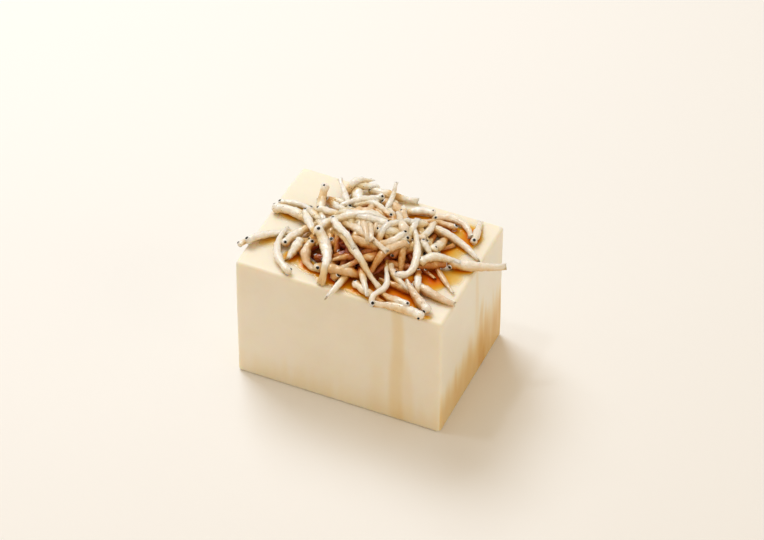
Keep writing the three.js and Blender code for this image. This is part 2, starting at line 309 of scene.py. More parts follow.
def read_map(grid, x, y):
    column = np.floor((x + MAP_HALF[0]) / CELL).astype(int)
    row = np.floor((y + MAP_HALF[1]) / CELL).astype(int)
    inside = (column >= 0) & (row >= 0) & (column < grid.shape[1]) & (row < grid.shape[0])
    column = np.clip(column, 0, grid.shape[1] - 1)
    row = np.clip(row, 0, grid.shape[0] - 1)
    return np.where(inside, grid[row, column], REST_GAP)


def stamp_body(heights, point, radius, sink):
    """Raises the heights to the top of one ball of a body."""
    reach = math.ceil(radius / CELL)
    column = math.floor((point[0] + MAP_HALF[0]) / CELL)
    row = math.floor((point[1] + MAP_HALF[1]) / CELL)
    columns = slice(max(0, column - reach), max(0, column + reach + 1))
    rows = slice(max(0, row - reach), max(0, row + reach + 1))
    away = (MAP_X[None, columns] - point[0]) ** 2 + (MAP_Y[rows, None] - point[1]) ** 2
    left = radius ** 2 - away
    top = point[2] + np.sqrt(np.maximum(left, 0)) * (BODY_HEIGHT - sink)
    window = heights[rows, columns]
    heights[rows, columns] = np.where(left > 0, np.maximum(window, top), window)


def half_width(share, width):
    snout = np.sqrt(np.minimum(1, share / SNOUT_LENGTH))
    taper = 1 - (1 - TAIL_WIDTH) * smoothstep(share, TAPER_FROM, 1)
    return 0.5 * width * snout * taper


def bend_body(fish):
    """The middle line of a fish as seen from above, and its headings."""
    turn = (
        fish["bend"] * (LINK_PLACES - 0.5)
        + fish["sway"] * np.sin(2 * math.pi * LINK_PLACES)
        + fish["hook"] * np.maximum(0, 1 - LINK_PLACES / HOOK_REACH) ** 2
    )
    angles = np.radians(fish["heading"] + turn)
    middle = (angles[:-1] + angles[1:]) / 2
    steps = np.stack([np.cos(middle), np.sin(middle)], axis=1) * fish["length"] / LINKS
    flat = np.vstack([np.zeros((1, 2)), np.cumsum(steps, axis=0)])
    return flat + (np.array([fish["x"], fish["y"]]) - flat[LINKS // 2]), angles


def sag(lowest, step):
    """Heights of a soft line that comes down from above and stops on its supports."""
    drop = SAG_PER_STEP * step * step
    lowest = lowest.tolist()
    z = [max(lowest)] * (LINKS + 1)
    for _ in range(SAG_ROUNDS):
        z[0] = max(lowest[0], 2 * z[1] - z[2] - 4 * drop)
        for i in range(1, LINKS):
            z[i] = max(lowest[i], (z[i - 1] + z[i + 1]) / 2 - drop)
        z[LINKS] = max(lowest[LINKS], 2 * z[LINKS - 1] - z[LINKS - 2] - 4 * drop)
    return np.array(z)


def lay_fish(heights, fish, sink):
    """The fish with its middle line, resting on the heights, which it raises."""
    flat, angles = bend_body(fish)
    radii = half_width(LINK_PLACES, fish["width"])
    below = np.max([
        read_map(
            heights,
            flat[:, 0] - np.sin(angles) * radii * reach,
            flat[:, 1] + np.cos(angles) * radii * reach,
        )
        for reach in FOOTPRINT
    ], axis=0)
    on_block = REST_GAP + radii * BODY_HEIGHT
    z = sag(np.maximum(on_block, below + radii * (BODY_HEIGHT - sink)), fish["length"] / LINKS)
    z = z + fish["head_lift"] * np.maximum(0, 1 - LINK_PLACES / LIFT_REACH) ** 2
    z = z + fish["tail_lift"] * np.maximum(0, 1 - (1 - LINK_PLACES) / LIFT_REACH) ** 2
    line = np.column_stack([flat, z])
    for point, radius in zip(line, radii):
        stamp_body(heights, point, radius, sink)
    return {**fish, "line": line, "radii": radii, "angles": angles}


def top_surface(heap):
    """A smooth map of how high the fish reach near each place, above the block."""
    tops = new_heights(MOUND)
    for fish in heap:
        for point, radius in zip(fish["line"], fish["radii"]):
            stamp_body(tops, point, radius, 0)
    for _ in range(TOP_REACH):
        around = np.pad(tops, 1, mode="edge")
        tops = np.max([around[:-2, 1:-1], around[2:, 1:-1], around[1:-1, :-2],
                       around[1:-1, 2:], tops], axis=0)
    return blurred(tops, 4)


def laid_heap():
    """Every fish of the heap, from the bottom up, with its middle line."""
    heights = new_heights(CORE)
    buried = [lay_fish(heights, fish, BURIED_SINK) for fish in scattered(SCATTER)]
    shown = [lay_fish(heights, as_fish(row), SINK) for row in SHOWN]
    low = new_heights(MOUND)
    fillers = [lay_fish(low, fish, BURIED_SINK) for fish in scattered(FILLERS)]
    return fillers + buried + shown


# --- the tofu block ---

BLOCK_CELLS = (112, 80, 72)       # even cells between the rounded edges
EDGE_STEPS = 4                    # steps from a flat face to the middle of an edge

# Uneven waves: height, distance across, seed.
KNIFE_WAVES = (0.018, 1.3, 311)
SIDE_WAVES = (0.05, 19, 977)
KNIFE_STRETCH = 0.04              # the lines run from front to back

# The sliver missing along the back part of the upper left edge.
SHAVED = {"from_x": 30, "from_y": 17.6, "to_y": 19.0, "inset": 0.3, "more": 0.3, "foot": 38}


def grid_lines(size, cells):
    """Places across one side, as signed distances from the middle."""
    half = size / 2
    flat = half - EDGE_RADIUS
    turns = np.radians(45) * np.arange(1, EDGE_STEPS + 1) / EDGE_STEPS
    edge = flat + EDGE_RADIUS * np.tan(turns)
    return np.concatenate([-edge[::-1], np.linspace(-flat, flat, cells + 1), edge])


def box_grid(counts):
    """The grid points on the skin of a box, and the quads between them."""
    numbers = {}
    quads = []

    def number(key):
        return numbers.setdefault(key, len(numbers))

    for axis in range(3):
        u, v = (axis + 1) % 3, (axis + 2) % 3
        for side in (0, counts[axis]):
            for i in range(counts[u]):
                for j in range(counts[v]):
                    corners = []
                    for a, b in ((i, j), (i + 1, j), (i + 1, j + 1), (i, j + 1)):
                        key = [0, 0, 0]
                        key[axis], key[u], key[v] = side, a, b
                        corners.append(number(tuple(key)))
                    quads.append(corners if side else corners[::-1])
    return np.array(list(numbers)), quads


def swell(x, y, z):
    across = np.sin(x / SWELL["along_x"] + 0.6) * np.sin(y / SWELL["along_y"] + 1.1)
    upward = np.sin(z / SWELL["along_z"] + 0.5 * x / SWELL["along_x"])
    fade = smoothstep(z, 0, SWELL["flat_foot"])
    return SWELL["most"] * fade * (across + upward) / 2


def tofu_skin():
    """Points and quads of the block, with the marks that the knife left."""
    sizes = np.array([BLOCK["width"], BLOCK["depth"], BLOCK["height"]], float)
    lines = [grid_lines(size, cells) for size, cells in zip(sizes, BLOCK_CELLS)]
    keys, quads = box_grid([len(line) - 1 for line in lines])
    on_box = np.column_stack([lines[axis][keys[:, axis]] for axis in range(3)])
    corner = sizes / 2 - EDGE_RADIUS
    inner = np.clip(on_box, -corner, corner)
    outward = on_box - inner
    outward /= np.linalg.norm(outward, axis=1)[:, None]
    points = inner + EDGE_RADIUS * outward
    x, y, z = points.T        # these change with the points
    z += BLOCK["height"] / 2

    relief = swell(x, y, z)
    foot = smoothstep(z, 0, SWELL["flat_foot"])
    top = np.maximum(outward[:, 2], 0)
    relief += wavy(x, y * KNIFE_STRETCH, *KNIFE_WAVES) * top * foot
    relief += wavy(x + y, z, *SIDE_WAVES) * foot * (1 - top)
    points += outward * relief[:, None]

    inset = SHAVED["inset"] * smoothstep(y, SHAVED["from_y"], SHAVED["to_y"])
    inset += SHAVED["more"] * smoothstep(y, SHAVED["to_y"], BLOCK["depth"] / 2) ** 2
    inset *= smoothstep(z, SHAVED["foot"], BLOCK["height"])
    x += inset * smoothstep(-x, SHAVED["from_x"], BLOCK["width"] / 2)
    return points, quads, outward


# --- the sauce ---

# Pools and wet patches on top of the block: middle, half lengths, turn, depth.
POOLS = [
    (-30.5, 1.2, 6.5, 2.2, -8, 0.16),
    (-27.5, 7.4, 6.5, 2.4, 4, 0.14),
    (-21.8, 5.4, 2.5, 2.0, 0, 0.40),
    (-31.2, -12.6, 5.6, 3.2, 50, 0.15),
    (-21.0, -16.8, 4.6, 3.2, -30, 0.45),
    (-14.0, -18.6, 6.0, 3.0, -14, 0.55),
    (-5.0, -21.0, 7.0, 3.4, -8, 0.80),
    (4.0, -22.8, 7.0, 2.6, -8, 0.40),
    (12.5, -23.6, 6.0, 2.4, 0, 0.40),
    (19.5, -20.5, 8.0, 5.0, -10, 0.90),
    (8.5, -18.6, 6.5, 4.2, -16, 0.80),
    (0.5, -18.4, 6.5, 3.6, 0, 0.70),
    (18.0, -12.6, 6.0, 5.2, 20, 0.90),
    (26.0, -25.4, 6.0, 1.4, 6, 0.35),
    (31.6, -25.2, 2.4, 1.3, 20, 0.25),
    (31.0, -16.0, 7.0, 2.0, -14, 0.10),
    (25.5, -8.0, 6.5, 5.5, -10, 1.10),
    (30.5, -4.5, 6.0, 4.6, 20, 0.34),
    (33.5, 0.6, 5.0, 2.4, 14, 0.34),
    (25.5, 6.5, 5.5, 4.5, 0, 0.50),
    (28.5, 15.5, 5.5, 8.0, 0, 0.60),
    (30.2, 19.0, 3.0, 3.8, 10, 0.36),
    (20.0, 16.5, 9.0, 4.6, -10, 0.50),
    (10.5, 17.4, 6.5, 3.0, 16, 0.50),
    (0.0, -2.0, 21.0, 15.0, 0, 1.50),
]
# Uneven waves of the pools' edges: height, distance across, seed.
POOL_WAVES = (0.16, 7.0, 5501)
POOL_RIPPLES = (0.07, 2.4, 733)
POOL_CURVE = 0.95                 # of the depth, from the middle of a pool to its edge
SAUCE_CELL = 0.4
FILM_INSET = {"left": 0.5, "front": 0.3, "far": 0.4}
FILM_SUNK = 0.02                  # how far the film's top is lowered
FILM_FOOT = 0.25                  # how deep its underside lies in the block
SAUCE_EDGE = 0.018                # thinner than this, the film ends
HIGHEST_FILM = 0.6
# Where the sauce climbs the fish: those no higher than `near` above the block.
MENISCUS = {"height": 0.7, "blur": 9, "near": 0.9, "reach": 1.3, "least": 0.3, "steep": 3}


def pool_depth(x, y):
    """Depth of the sauce lying on the block's top, before it climbs the fish."""
    edge = wavy(x, y, *POOL_WAVES) + wavy(x, y, *POOL_RIPPLES)
    depth = np.zeros(np.broadcast(x, y).shape)
    for middle_x, middle_y, half_x, half_y, turn, deep in POOLS:
        c, s = math.cos(math.radians(turn)), math.sin(math.radians(turn))
        u = ((x - middle_x) * c + (y - middle_y) * s) / half_x
        v = ((y - middle_y) * c - (x - middle_x) * s) / half_y
        inside = 1 - np.hypot(u, v) + edge
        depth = np.maximum(depth, deep * np.clip(inside, 0, 1) ** POOL_CURVE)
    return depth


def footprint(heap, x, y):
    """Where the fish come down to the block, 1 under a body and 0 beside it."""
    mask = np.zeros((len(y), len(x)))
    for fish in heap:
        for point, radius in zip(fish["line"], fish["radii"]):
            if point[2] - radius > REST_GAP + MENISCUS["near"]:
                continue
            away = np.sqrt((x[None, :] - point[0]) ** 2 + (y[:, None] - point[1]) ** 2)
            under = MENISCUS["reach"] - away / max(radius, MENISCUS["least"])
            mask = np.maximum(mask, np.clip(under, 0, 1))
    return np.minimum(mask * MENISCUS["steep"], 1)


def sauce_film(heap):
    """The film's points, quads and depth, and a map of its depth. It is a closed skin
    that ends just inside the block's top edges."""
    half_x, half_y = BLOCK["width"] / 2, BLOCK["depth"] / 2
    x = np.arange(-half_x + FILM_INSET["left"], half_x - FILM_INSET["far"], SAUCE_CELL)
    y = np.arange(-half_y + FILM_INSET["front"], half_y - FILM_INSET["far"], SAUCE_CELL)
    flat = pool_depth(x[None, :], y[:, None])
    contact = blurred(footprint(heap, x, y), MENISCUS["blur"])
    wet = smoothstep(blurred(flat, 3), 0.01, 0.2)
    depth = blurred(flat, 2) + MENISCUS["height"] * contact * wet
    inside_x, inside_y = np.minimum(x - x[0], x[-1] - x), np.minimum(y - y[0], y[-1] - y)
    rim = np.minimum(inside_x[None, :], inside_y[:, None])
    depth = depth * smoothstep(rim, -0.2, 1.0)
    lifts = HIGHEST_FILM * (1 - np.exp(-depth / HIGHEST_FILM))

    deep = depth > SAUCE_EDGE
    keep = np.zeros(depth.shape, bool)
    keep[:-1, :-1] = deep[:-1, :-1] | deep[1:, :-1] | deep[:-1, 1:] | deep[1:, 1:]
    numbers = {}
    points, depths, quads = [], [], []

    def number(row, column, upper):
        key = (row, column, upper)
        if key not in numbers:
            numbers[key] = len(points)
            lift = lifts[row, column] - FILM_SUNK if upper else -FILM_FOOT
            points.append((x[column], y[row], BLOCK["height"] + lift))
            depths.append(depth[row, column])
        return numbers[key]

    for row, column in zip(*np.nonzero(keep)):
        ring = [(row, column), (row, column + 1), (row + 1, column + 1), (row + 1, column)]
        quads.append([number(r, c, True) for r, c in ring])
        quads.append([number(r, c, False) for r, c in reversed(ring)])
        beside = [(row - 1, column), (row, column + 1), (row + 1, column), (row, column - 1)]
        for side, (r, c) in enumerate(beside):
            if r < 0 or c < 0 or not keep[r, c]:
                a, b = ring[side], ring[(side + 1) % 4]
                quads.append([number(*b, True), number(*a, True),
                              number(*a, False), number(*b, False)])
    return np.array(points), quads, np.array(depths), {"x": x, "y": y, "depth": depth}


def read_film(film, grid, x, y):
    """A grid laid over the film, read at other places."""
    column = np.round((x - film["x"][0]) / SAUCE_CELL).astype(int)
    row = np.round((y - film["y"][0]) / SAUCE_CELL).astype(int)
    return grid[np.clip(row, 0, grid.shape[0] - 1), np.clip(column, 0, grid.shape[1] - 1)]


# Runs of sauce down the sides: face, place along it, upper and lower end, half width
# above and below, depth of the stain.
RUNS = [
    ("front", 21.4, 50, 0, 2.0, 2.6, 0.075),
    ("front", 24.6, 34, 0, 1.2, 3.4, 0.030),
    ("front", 15.0, 26, 0, 2.0, 4.0, 0.022),
    ("right", 3.8, 50, 18, 0.9, 2.2, 0.050),
    ("right", 8.5, 34, 0, 1.3, 3.2, 0.16),
    ("right", 11.8, 30, 0, 0.9, 1.7, 0.10),
    ("right", 15.0, 27, 0, 1.0, 1.8, 0.08),
    ("right", 18.5, 31, 0, 0.7, 1.5, 0.07),
    ("right", 21.5, 29, 0, 0.8, 2.0, 0.09),
    ("right", 24.5, 27, 0, 0.9, 1.6, 0.07),
    ("right", -2.0, 26, 0, 2.5, 4.0, 0.05),
    ("right", -12.0, 22, 0, 2.5, 4.5, 0.05),
    ("back", -14.0, 28, 0, 1.4, 2.6, 0.06),
    ("back", 16.0, 50, 0, 1.6, 2.8, 0.07),
    ("left", 6.0, 24, 0, 1.6, 3.0, 0.05),
]

# The wet tide line low on each side: its height, depth of the stain, rise to the right.
TIDE = {"front": (13, 0.04, 0), "right": (23, 0.20, 0.12), "back": (20, 0.16, 0),
        "left": (19, 0.14, 0)}
TIDE_WAVES = (3.5, 6.0)           # height, distance across
TIDE_SEED = 41
TIDE_FADE = 14
HALO = {"most": 0.3, "blur": 30, "share": 0.3}      # sauce soaked in round the pools


def tofu_stain(points, outward, film):
    """How much sauce has soaked in at each point, as a depth in millimetres."""
    x, y, z = points.T
    out_x, out_y, out_z = outward.T
    soaked = blurred(np.minimum(film["depth"], HALO["most"]), HALO["blur"])
    stain = HALO["share"] * read_film(film, soaked, x, y) * smoothstep(out_z, 0.2, 0.9)

    facing = {"front": (-out_y, x), "right": (out_x, y), "back": (out_y, x),
              "left": (-out_x, y)}
    for face, (turned, along) in facing.items():
        on_face = smoothstep(turned, 0.5, 0.9)
        level, deep, slope = TIDE[face]
        ragged = level + wavy(along, 0 * z, *TIDE_WAVES, TIDE_SEED + level) + slope * along
        stain += on_face * deep * smoothstep(ragged - z, 0, TIDE_FADE)
    for face, place, upper, lower, narrow, broad, deep in RUNS:
        turned, along = facing[face]
        down = np.clip((upper - z) / (upper - lower), 0, 1)
        half = narrow + (broad - narrow) * down
        drift = 0.5 * np.sin(z / 7 + place)
        near = np.exp(-(((along - place - drift) / half) ** 4))
        # a run from the top edge starts at full depth, one lower down fades in
        fade = 0.3 * (upper - lower) if upper < BLOCK["height"] else 0.4
        begins = smoothstep(upper - z, -0.5, fade)
        stain += smoothstep(turned, 0.4, 0.9) * deep * near * begins
    return stain


# --- the fish ---

LOOKS_SEED = 90911
ROLL_SPREAD = 80                  # degrees round its own length, from fish to fish
TWIST_SPREAD = 60
EYE_SIZE = (0.42, 0.2)            # least, and how much more
SPECKLED = {"above": 0.62, "much": 0.75, "little": 0.25}
# Ups and downs of a body: share of its half width, pace along it, pace round it.
BULGES = ((0.05, 11), (0.035, 27))
LUMPS = ((0.05, 2, 2), (0.03, 3.6, -3))
GROOVE = {"depth": 0.09, "width": 0.05}
FRAYED = {"from": 0.93, "length": 0.9}

# Sauce on the fish: how far above its level they are soaked or tinted, then the tint
# of those that stand in the film and of those down between others. The tint between
# others is partly sauce and partly painted shade, deeper the further a point lies under
# the fish around it.
SOAKED = {"rise": 1.2, "tint_rise": 0.8, "tint_fade": 2.0, "kept_off": 0.6}
WADING = {"rise": 1.0, "fade": 1.2, "pool": (0.02, 0.2), "depth": 0.24}
# under: how far below the fish around it a point lies, from none to full; depth: painted shade
# per millimetre below them, on every fish; in_sauce: more tint where the point also lies in
# the sauce
SHADE_AND_SAUCE_BETWEEN = {"under": (0.2, 1.8), "depth": 0.1, "in_sauce": 0.16}
SOAKED_WAVES = (0.6, 6.0, 1907)   # height, distance across, seed
MOUND_WAVES = (0.5, 4.0, 1283)
MOUND_RINGS = (26, 96)            # rings, points in each
MOUND_FOOT = 0.3                  # how deep it stands in the block

# Eyes: where along and how far out, in widths of the fish, and which way they look.
EYE_PLACE = {"along": 0.42, "out": 0.45, "forward": 0.25, "upward": 0.12}
# The silvery ring and the dark ball in it: size, flattening, how far it is let in.
EYE_RING = (1.5, 0.45, 0.22)
EYE_BALL = (1.1, 0.6, 0.08)


def smooth_line(line):
    """The middle line with its small kinks rounded off."""
    for _ in range(SMOOTHINGS):
        inner = (line[:-2] + 2 * line[1:-1] + line[2:]) / 4
        line = np.vstack([line[:1], inner, line[-1:]])
    return line


def unit(vectors):
    return vectors / np.linalg.norm(vectors, axis=-1, keepdims=True)


def body_frame(fish):
    """Along a body: middle points, and the ways to the tail, the back and the flank."""
    line = smooth_line(fish["line"])
    centre = np.column_stack([
        curve_through(LINK_PLACES, line[:, axis], RING_PLACES) for axis in range(3)])
    ahead = unit(np.gradient(centre, RING_PLACES, axis=0))
    angles = np.interp(RING_PLACES, LINK_PLACES, fish["angles"])
    across = np.column_stack([-np.sin(angles), np.cos(angles), np.zeros(RINGS)])
    across = unit(across - ahead * np.sum(across * ahead, axis=1)[:, None])
    up = np.cross(ahead, across)
    roll = np.radians(fish["roll"] + fish["twist"] * (RING_PLACES - 0.3))[:, None]
    back = np.cos(roll) * across + np.sin(roll) * up
    flank = np.cos(roll) * up - np.sin(roll) * across
    return centre, ahead, back, flank


def fish_looks(heap):
    """Seeded small differences between one fish and the next."""
    draw = random_from(LOOKS_SEED)
    for fish in heap:
        roll = ROLL_SPREAD * (next(draw) - 0.5) + (180 if next(draw) > 0.5 else 0)
        fish["roll"] = roll if fish["roll"] is None else fish["roll"]
        fish["twist"] = TWIST_SPREAD * (next(draw) - 0.5)
        fish["wobble"] = [2 * math.pi * next(draw) for _ in range(3)]
        fish["eye_size"] = EYE_SIZE[0] + EYE_SIZE[1] * next(draw)
        fish["pallor"] = next(draw)
        spots = next(draw)
        speckle = SPECKLED["much"] if spots > SPECKLED["above"] else SPECKLED["little"] * spots
        fish["speckle"] = max(fish["speckle"], speckle)
        fish["fray"] = [next(draw) for _ in range(SIDES)]


def fish_body(fish):
    """Rings of points round one fish, and where on its body each of them lies."""
    shares = RING_PLACES
    centre, ahead, back, flank = body_frame(fish)
    knots, depths, widths = np.array(BODY_FORM).T
    deep = curve_through(knots, depths, shares)
    thick = curve_through(knots, widths, shares)
    first, second, third = fish["wobble"]
    half = 0.5 * fish["width"]
    turn = 2 * math.pi * np.arange(SIDES) / SIDES
    along = shares * fish["length"]
    bulging, lumpy = 1, 1
    for (height, pace), phase in zip(BULGES, (first, second)):
        bulging = bulging + height * np.sin(pace * shares + phase)
    for (height, pace, spin), phase in zip(LUMPS, (third, first)):
        lumpy = lumpy + height * np.sin(pace * along[:, None] + spin * turn + phase)
    # a groove runs along the middle of each flank, from the head to the tail
    off_flank = (np.abs(np.sin(turn)) - 1) / GROOVE["width"]
    middle = smoothstep(shares, 0.16, 0.3) * smoothstep(1 - shares, 0.1, 0.3)
    groove = 1 - np.outer(middle, GROOVE["depth"] * np.exp(-off_flank ** 2))
    radius = half * bulging[:, None] * groove * lumpy
    points = (
        centre[:, None, :]
        + (radius * deep[:, None] * np.cos(turn))[:, :, None] * back[:, None, :]
        + (radius * thick[:, None] * np.sin(turn))[:, :, None] * flank[:, None, :]
    )
    ragged = np.outer(smoothstep(shares, FRAYED["from"], 1.0), fish["fray"])
    ragged = ragged * FRAYED["length"] * half
    points = points + ragged[:, :, None] * ahead[:, None, :]
    place = np.stack(
        np.broadcast_arrays(along[:, None], np.sin(turn) * half, -np.cos(turn)), axis=-1)
    return points.reshape(-1, 3), place.reshape(-1, 3)


def closed_rings(count, sides, start):
    """Quads round a run of rings, with one flat face at each end."""
    quads = []
    for ring in range(count - 1):
        for side in range(sides):
            a = start + ring * sides + side
            b = start + ring * sides + (side + 1) % sides
            quads.append([a, b, b + sides, a + sides])
    last = start + (count - 1) * sides
    quads.append([start + side for side in reversed(range(sides))])
    quads.append([last + side for side in range(sides)])
    return quads


def soaked_level(x, y):
    """How high above the block the sauce reaches between the fish."""
    level = np.zeros(np.broadcast(x, y).shape)
    for middle_x, middle_y, half_x, half_y, height in SOAKED_HILLS:
        away = np.hypot((x - middle_x) / half_x, (y - middle_y) / half_y)
        level = np.maximum(level, height * (1 - np.minimum(away, 1) ** 2))
    return level + wavy(x, y, *SOAKED_WAVES) * (level > 0)


def sauce_and_shade_on_fish(fish, body, cover, film):
    """How far each point is soaked, and the depth of sauce that it is seen through, which also
    carries painted shade where a point lies under other fish.
    """
    x, y, z = body.T
    level = soaked_level(x, y)
    middle = np.repeat(z.reshape(RINGS, SIDES).mean(axis=1), SIDES)
    under_top = np.maximum(read_map(cover, x, y) - z, 0)
    soak = smoothstep(level + SOAKED["rise"] - middle, 0, SOAK_FADE) * (1 - fish["clean"])
    in_sauce = smoothstep(level + SOAKED["tint_rise"] - z, 0, SOAKED["tint_fade"])
    in_sauce = in_sauce * (1 - SOAKED["kept_off"] * fish["clean"])
    hidden = smoothstep(under_top, *SHADE_AND_SAUCE_BETWEEN["under"])
    pooled = read_film(film, film["depth"], x, y)
    at_film = smoothstep(pooled + WADING["rise"] - z, 0, WADING["fade"])
    at_film = at_film * smoothstep(pooled, *WADING["pool"])
    # painted shade: a point down under other fish is tinted amber as if seen through sauce,
    # partly for the real sauce between the fish and partly standing in for the warm shade
    # there
    between = (SHADE_AND_SAUCE_BETWEEN["depth"] + SHADE_AND_SAUCE_BETWEEN["in_sauce"] * in_sauce) * hidden * under_top
    return np.maximum(soak, fish["tan"]), WADING["depth"] * at_film + between


def whitebait_fish(heap, film):
    """All the fish as one mesh, with the readings that their finish needs."""
    cover = top_surface(heap)
    bodies, faces = [], []
    readings = {"body_place": [], "soak": [], "pallor": [], "speckle": [], "sauce_and_shade_depth": []}
    for fish in heap:
        body, place = fish_body(fish)
        soak, depth = sauce_and_shade_on_fish(fish, body, cover, film)
        pallor = np.full(len(body), fish["pallor"])
        speckle = np.full(len(body), fish["speckle"])
        for rows, own in zip(readings.values(), (place, soak, pallor, speckle, depth)):
            rows.append(own)
        faces += closed_rings(RINGS, SIDES, len(bodies) * RINGS * SIDES)
        bodies.append(body + [0, 0, BLOCK["height"]])
    readings = {label: np.concatenate(rows) for label, rows in readings.items()}
    return np.vstack(bodies), faces, readings


def dome(middle, outward, ahead, radius, squash, steps=6, sides=12):
    """A flattened ball that looks out along `outward`."""
    side = unit(np.cross(outward, ahead))
    front = np.cross(side, outward)
    rise = outward * radius * squash
    points = [middle + rise]
    for i in range(1, steps):
        tilt = math.pi * i / steps
        for j in range(sides):
            turn = 2 * math.pi * j / sides
            spoke = side * math.cos(turn) + front * math.sin(turn)
            points.append(middle + rise * math.cos(tilt) + spoke * radius * math.sin(tilt))
    points.append(middle - rise)
    faces = [[0, 1 + j, 1 + (j + 1) % sides] for j in range(sides)]
    for i in range(steps - 2):
        for j in range(sides):
            a = 1 + i * sides + j
            b = 1 + i * sides + (j + 1) % sides
            faces.append([a, a + sides, b + sides, b])
    last = len(points) - 1
    ring = 1 + (steps - 2) * sides
    faces += [[last, ring + (j + 1) % sides, ring + j] for j in range(sides)]
    return np.array(points), faces


def eyes(heap, size, squash, inset):
    """Two eyes for every fish, as one mesh."""
    points, faces = [], []
    start = 0
    for fish in heap:
        centre, ahead, back, flank = body_frame(fish)
        along = RING_PLACES * fish["length"]
        ring = int(np.argmin(np.abs(along - EYE_PLACE["along"] * fish["width"])))
        for sign in (1, -1):
            outward = unit(sign * flank[ring] - EYE_PLACE["forward"] * ahead[ring]
                           + EYE_PLACE["upward"] * back[ring])
            middle = centre[ring] + outward * (EYE_PLACE["out"] * fish["width"] - inset)
            middle = middle + [0, 0, BLOCK["height"]]
            ball, skin = dome(middle, outward, ahead[ring], fish["eye_size"] * size, squash)
            points.append(ball)
            faces += [[start + corner for corner in face] for face in skin]
            start += len(ball)
    return np.vstack(points), faces


def soaked_mound():
    """The wet middle of the heap, seen only in the gaps between the fish."""
    rings, sides = MOUND_RINGS
    points = []
    for ring in range(rings):
        away = 1 - ring / rings
        turn = 2 * math.pi * np.arange(sides) / sides
        x = MOUND["x"] + MOUND["half_x"] * away * np.cos(turn)
        y = MOUND["y"] + MOUND["half_y"] * away * np.sin(turn)
        bumps = wavy(x, y, *MOUND_WAVES) * smoothstep(1 - away, 0, 0.25)
        height = mound_height(MOUND, x, y) * smoothstep(1 - away, -0.05, 0.12) + bumps
        points.append(np.column_stack([x, y, BLOCK["height"] + height]))
    foot = points[0].copy()
    foot[:, 2] = BLOCK["height"] - MOUND_FOOT
    stack = np.vstack([foot] + points)
    above = stack[:, 2] - BLOCK["height"]
    soak = smoothstep(soaked_level(stack[:, 0], stack[:, 1]) - above, -1, SOAK_FADE)
    return stack, closed_rings(rings + 1, sides, 0), {"soak": soak}


# --- finishes ---

NOISE_ROUGHNESS = 0.55


def new_material(name):
    material = bpy.data.materials.new(name)
    material.use_nodes = True
    tree = material.node_tree
    shader = next(node for node in tree.nodes if node.type == "BSDF_PRINCIPLED")
    return material, tree, shader


def set_inputs(tree, target, inputs):
    """Gives each named input of a node its value, or a link from another node."""
    for name, value in inputs.items():
        if isinstance(value, bpy.types.NodeSocket):
            tree.links.new(value, target.inputs[name])
        else:
            target.inputs[name].default_value = value


def node(tree, kind, inputs=None, **settings):
    made = tree.nodes.new(kind)
    for name, value in settings.items():
        setattr(made, name, value)
    set_inputs(tree, made, inputs or {})
    return made


def math_node(tree, operation, first, second=0.0):
    made = node(tree, "ShaderNodeMath", {0: first, 1: second}, operation=operation)
    return made.outputs[0]


def times(tree, first, second):
    return math_node(tree, "MULTIPLY", first, second)


def joined(tree, x, y, z):
    return node(tree, "ShaderNodeCombineXYZ", {0: x, 1: y, 2: z}).outputs[0]


def mix_colour(tree, share, first, second, blend="MIX"):
    made = node(tree, "ShaderNodeMix", {0: share, 6: first, 7: second},
                data_type="RGBA", blend_type=blend)
    return made.outputs[2]


def ranged(tree, value, low, high, to_low=0.0, to_high=1.0):
    made = node(tree, "ShaderNodeMapRange", {0: value, 1: low, 2: high, 3: to_low, 4: to_high},
                interpolation_type="SMOOTHSTEP")
    return made.outputs[0]


def reading(tree, name, output="Fac"):
    return node(tree, "ShaderNodeAttribute", attribute_name=name).outputs[output]


def object_place(tree):
    return node(tree, "ShaderNodeTexCoord").outputs["Object"]


def noise(tree, scale, detail, place=None):
    made = node(tree, "ShaderNodeTexNoise", {
        "Vector": object_place(tree) if place is None else place,
        "Scale": scale, "Detail": detail, "Roughness": NOISE_ROUGHNESS,
    })
    return made.outputs["Fac"]


def bumped(tree, height, strength, distance):
    made = node(tree, "ShaderNodeBump",
                {"Height": height, "Strength": strength, "Distance": distance})
    return made.outputs["Normal"]


def linear(red, green, blue):
    """A colour given as on a screen, 0 to 255, in the numbers that light adds up in."""
    def one(level):
        level /= 255
        return level / 12.92 if level <= 0.04045 else ((level + 0.055) / 1.055) ** 2.4
    return (one(red), one(green), one(blue), 1.0)


# How fast sauce swallows red, green and blue light, per millimetre: lying clear on
# top, and soaked into something pale.
CLEAR_SAUCE = (0.21, 1.08, 4.7)
SOAKED_SAUCE = (0.33, 0.95, 2.3)


